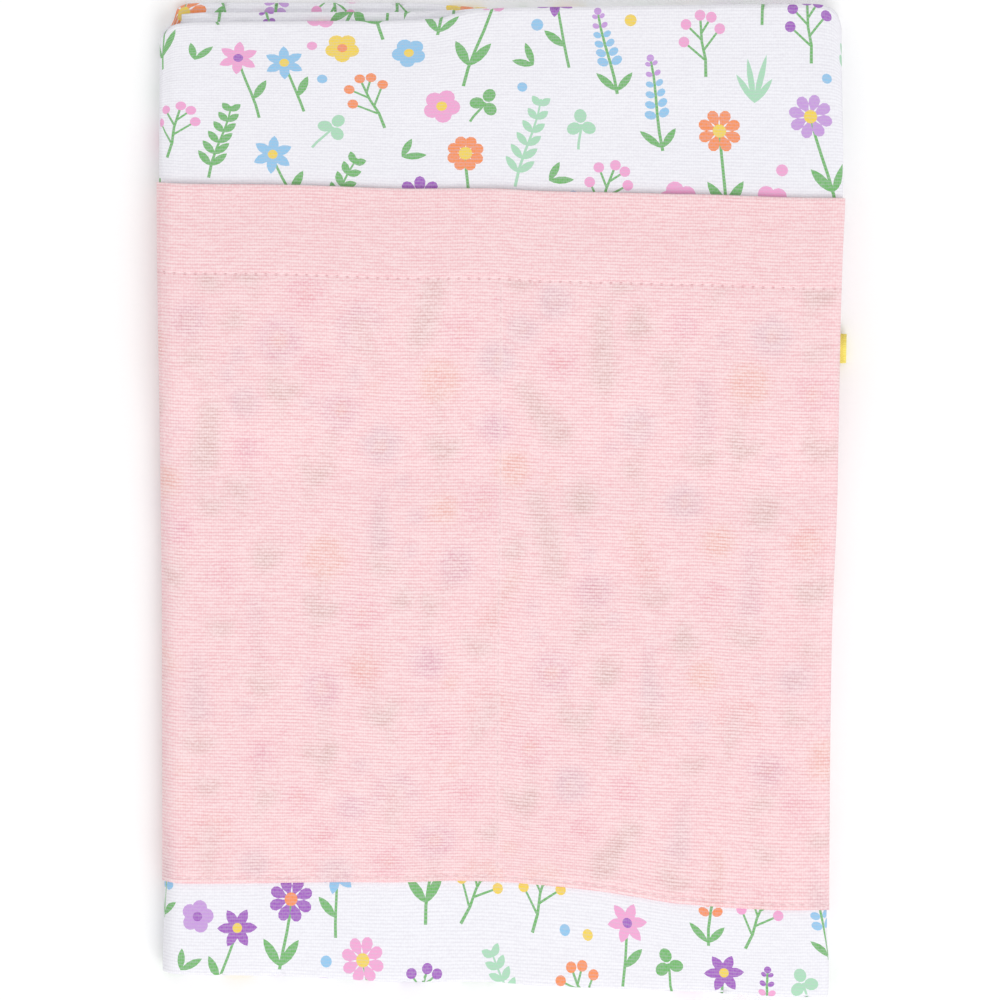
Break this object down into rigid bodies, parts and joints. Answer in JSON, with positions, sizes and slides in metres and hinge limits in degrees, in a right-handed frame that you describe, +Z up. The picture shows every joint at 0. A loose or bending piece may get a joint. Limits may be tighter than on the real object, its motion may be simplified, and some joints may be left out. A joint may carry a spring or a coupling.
{
  "type": "folded apron",
  "caption": "Bibbed cotton kitchen apron folded into a flat rectangle, with a wide front pocket round both side folds and its strap and ties inside.",
  "frame": {"origin": "middle of the folded apron's footprint, on the surface that it lies on", "axes": "+X towards the right-hand side fold, +Y towards the top fold, +Z up out of the front face"},
  "size_m": [0.235, 0.339, 0.019],
  "materials": {
    "printed_cotton": "matte plain weave, printed",
    "pink_cotton": "matte plain weave, slubby",
    "yellow_tape": "matte woven tape"
  },
  "bodies": {
    "root": {"apron_panel": "printed_cotton", "pocket": "pink_cotton", "neck_strap": "yellow_tape", "waist_tie_left": "yellow_tape", "waist_tie_right": "yellow_tape"}
  },
  "joints": []
}
